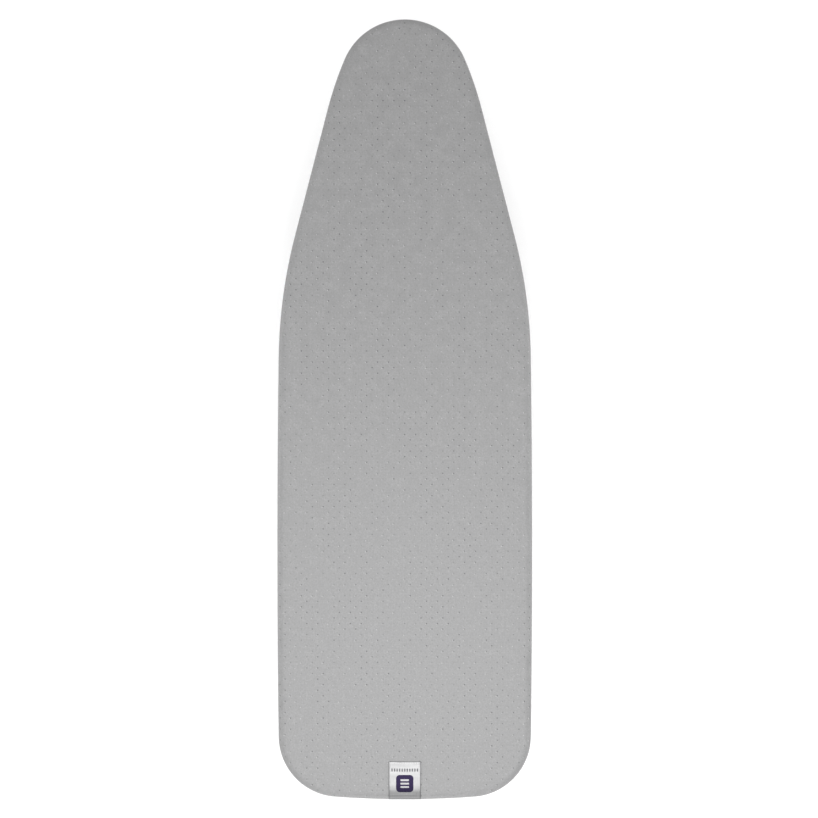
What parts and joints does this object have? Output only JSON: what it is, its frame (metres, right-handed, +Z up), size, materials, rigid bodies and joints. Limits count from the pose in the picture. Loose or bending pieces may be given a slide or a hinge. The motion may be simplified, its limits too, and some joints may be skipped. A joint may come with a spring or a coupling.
{
  "type": "table-top ironing board",
  "caption": "Small padded table-top ironing board with a tapered rounded nose, a metallised cotton cover, two folding U-shaped legs and a fold-out hanging hook.",
  "frame": {"origin": "on the table under the middle of the board's plan box, at the soles of the open feet", "axes": "+Z up from the table to the ironing surface, +Y along the board towards its narrow nose, +X to the right across it"},
  "size_m": [0.312, 0.955, 0.16],
  "materials": {
    "cover_cloth": "metallised cotton, satin, printed with fine dots",
    "label_satin": "woven satin",
    "hem_tape": "twill tape",
    "cord_braid": "braided polyester",
    "foam": "open-cell foam",
    "felt": "needled felt",
    "elastic": "woven elastic",
    "coated_steel": "satin powder coat",
    "leg_coating": "satin powder coat",
    "zinc_hardware": "zinc-plated",
    "rivet_steel": "bright",
    "hook_wire": "bright zinc wire",
    "black_plastic": "satin moulded",
    "foot_rubber": "matt"
  },
  "bodies": {
    "board": {"cover": "cover_cloth", "cover_label": "label_satin", "hem_binding": "hem_tape", "drawcord": "cord_braid", "cord_lock_body": "black_plastic", "cord_lock_spring": "zinc_hardware", "foam_pad": "foam", "felt_underlay": "felt", "deck_panel": "coated_steel", "deck_rim": "coated_steel", "front_cross_rail": "coated_steel", "rear_cross_rail": "coated_steel", "tail_cross_rail": "coated_steel", "nose_spine_rail": "coated_steel", "mid_spine_rail": "coated_steel", "tail_spine_rail": "coated_steel", "front_left_bracket": "zinc_hardware", "front_right_bracket": "zinc_hardware", "rear_left_bracket": "zinc_hardware", "rear_right_bracket": "zinc_hardware", "bracket_rivets": "rivet_steel", "front_pivot_rod": "zinc_hardware", "rear_pivot_rod": "zinc_hardware", "front_rod_caps": "black_plastic", "rear_rod_caps": "black_plastic", "front_friction_washers": "rivet_steel", "rear_friction_washers": "rivet_steel", "front_leg_clip": "black_plastic", "rear_leg_clip": "black_plastic", "clip_rivets": "rivet_steel", "hook_bracket": "zinc_hardware", "hook_rivets": "rivet_steel", "front_tension_strap": "elastic", "rear_tension_strap": "elastic", "front_strap_clips": "black_plastic", "rear_strap_clips": "black_plastic"},
    "front_leg": {"front_leg_tube": "leg_coating", "front_leg_plugs": "black_plastic", "front_left_foot": "foot_rubber", "front_right_foot": "foot_rubber"},
    "rear_leg": {"rear_leg_tube": "leg_coating", "rear_leg_plugs": "black_plastic", "rear_left_foot": "foot_rubber", "rear_right_foot": "foot_rubber"},
    "hook": {"hanging_hook": "hook_wire"},
    "lock_plunger": {"cord_lock_plunger": "black_plastic"}
  },
  "joints": [
    {"name": "front_leg_fold", "type": "hinge", "parent": "board", "child": "front_leg", "pos_m": [0, 0.2, 0.13], "axis": [-1, 0, 0], "range_deg": [0, 102]},
    {"name": "rear_leg_fold", "type": "hinge", "parent": "board", "child": "rear_leg", "pos_m": [0, -0.32, 0.13], "axis": [1, 0, 0], "range_deg": [0, 102]},
    {"name": "hook_fold", "type": "hinge", "parent": "board", "child": "hook", "pos_m": [0, -0.425, 0.133], "axis": [-1, 0, 0], "range_deg": [0, 180]},
    {"name": "cord_lock_press", "type": "slide", "parent": "board", "child": "lock_plunger", "axis": [-1, 0, 0], "range_m": [0, 0.003], "stiffness_N_per_m": 800, "springref_m": -0.001, "deforming": ["cord_lock_spring"]}
  ]
}
